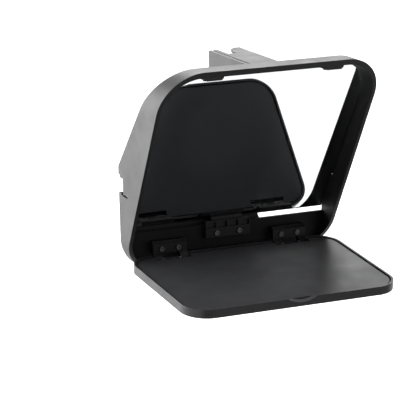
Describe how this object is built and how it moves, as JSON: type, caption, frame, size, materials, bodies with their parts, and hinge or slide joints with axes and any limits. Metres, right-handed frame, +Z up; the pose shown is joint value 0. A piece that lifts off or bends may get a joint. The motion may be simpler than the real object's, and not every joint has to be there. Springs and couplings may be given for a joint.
{
  "type": "camera teleprompter",
  "caption": "Folding teleprompter for a camera lens: a slanted beam splitter in a hooded frame, a hinged tray for a phone below it and a turning lens ring behind.",
  "frame": {"origin": "middle of the lens thread, on the lens axis", "axes": "+Y towards the camera along the lens axis, +Z up, +X across the frame; the subject is on the -Y side"},
  "size_m": [0.1944, 0.158, 0.1859],
  "materials": {
    "frame_shell": "fine satin texture, near black",
    "top_bracket": "satin black paint on folded aluminium",
    "bracket_screws": "blackened steel",
    "beam_glass": "half silvered front face, polished edges",
    "glass_gasket": "thin black foam rubber",
    "glass_clip_left": "satin black",
    "glass_clip_right": "satin black",
    "clip_screws": "plain steel, slotted",
    "centre_block": "satin black",
    "block_screws": "dark nickel, hex socket",
    "hinge_block_left": "satin black die casting",
    "hinge_block_right": "satin black die casting",
    "hinge_block_screws": "dark nickel, hex socket",
    "hinge_pin_left": "ground steel",
    "hinge_pin_right": "ground steel",
    "hinge_washers": "spring steel",
    "hinge_leaf_left": "satin black steel",
    "hinge_leaf_right": "satin black steel",
    "leaf_rivets": "plain rivet",
    "tray_shell": "fine satin texture, near black",
    "tray_plate": "fine satin dark grey coat",
    "tray_screws": "dark nickel, hex socket",
    "lens_panel": "matt black",
    "panel_hinge_base": "satin black steel",
    "panel_hinge_screws": "dark nickel, hex socket",
    "panel_hinge_pin": "ground steel",
    "latch_arm": "matt black",
    "arm_screws": "dark nickel, hex socket",
    "latch_magnet": "nickel plated magnet",
    "latch_plate": "zinc plated steel",
    "latch_screws": "plain steel",
    "adapter_ring": "black anodised, turned",
    "snap_ring": "spring steel",
    "step_ring": "black anodised, turned, fine thread",
    "light_felt": "black felt",
    "clamp_insert": "knurled brass",
    "clamp_screw": "steel, fine thread",
    "clamp_knob": "moulded black plastic with grip flutes"
  },
  "bodies": {
    "frame": {"frame_shell": "frame_shell", "top_bracket": "top_bracket", "bracket_screws": "bracket_screws", "beam_glass": "beam_glass", "glass_gasket": "glass_gasket", "glass_clip_left": "glass_clip_left", "glass_clip_right": "glass_clip_right", "clip_screws": "clip_screws", "centre_block": "centre_block", "block_screws": "block_screws", "hinge_block_left": "hinge_block_left", "hinge_block_right": "hinge_block_right", "hinge_block_screws": "hinge_block_screws", "hinge_pin_left": "hinge_pin_left", "hinge_pin_right": "hinge_pin_right", "hinge_washers": "hinge_washers", "panel_hinge_base": "panel_hinge_base", "panel_hinge_screws": "panel_hinge_screws", "panel_hinge_pin": "panel_hinge_pin", "latch_plate": "latch_plate", "latch_screws": "latch_screws"},
    "tray": {"tray_shell": "tray_shell", "tray_plate": "tray_plate", "tray_screws": "tray_screws", "hinge_leaf_left": "hinge_leaf_left", "hinge_leaf_right": "hinge_leaf_right", "leaf_rivets": "leaf_rivets"},
    "lens_panel": {"lens_panel": "lens_panel", "latch_arm": "latch_arm", "arm_screws": "arm_screws", "latch_magnet": "latch_magnet", "clamp_insert": "clamp_insert"},
    "lens_ring": {"adapter_ring": "adapter_ring", "snap_ring": "snap_ring", "step_ring": "step_ring", "light_felt": "light_felt"},
    "clamp": {"clamp_screw": "clamp_screw", "clamp_knob": "clamp_knob"}
  },
  "joints": [
    {"name": "tray_hinge", "type": "hinge", "parent": "frame", "child": "tray", "pos_m": [0, -0.0358, -0.0916], "axis": [-1, 0, 0], "range_deg": [0, 68.8]},
    {"name": "lens_panel_hinge", "type": "hinge", "parent": "frame", "child": "lens_panel", "pos_m": [0, -0.0174, -0.0765], "axis": [-1, 0, 0], "range_deg": [0, 90]},
    {"name": "ring_turn", "type": "hinge", "parent": "lens_panel", "child": "lens_ring", "pos_m": [0, -0.014, 0], "axis": [0, 1, 0], "continuous": true},
    {"name": "clamp_turn", "type": "hinge", "parent": "lens_panel", "child": "clamp", "pos_m": [-0.05, -0.012, 0], "axis": [-1, 0, 0], "continuous": true}
  ]
}
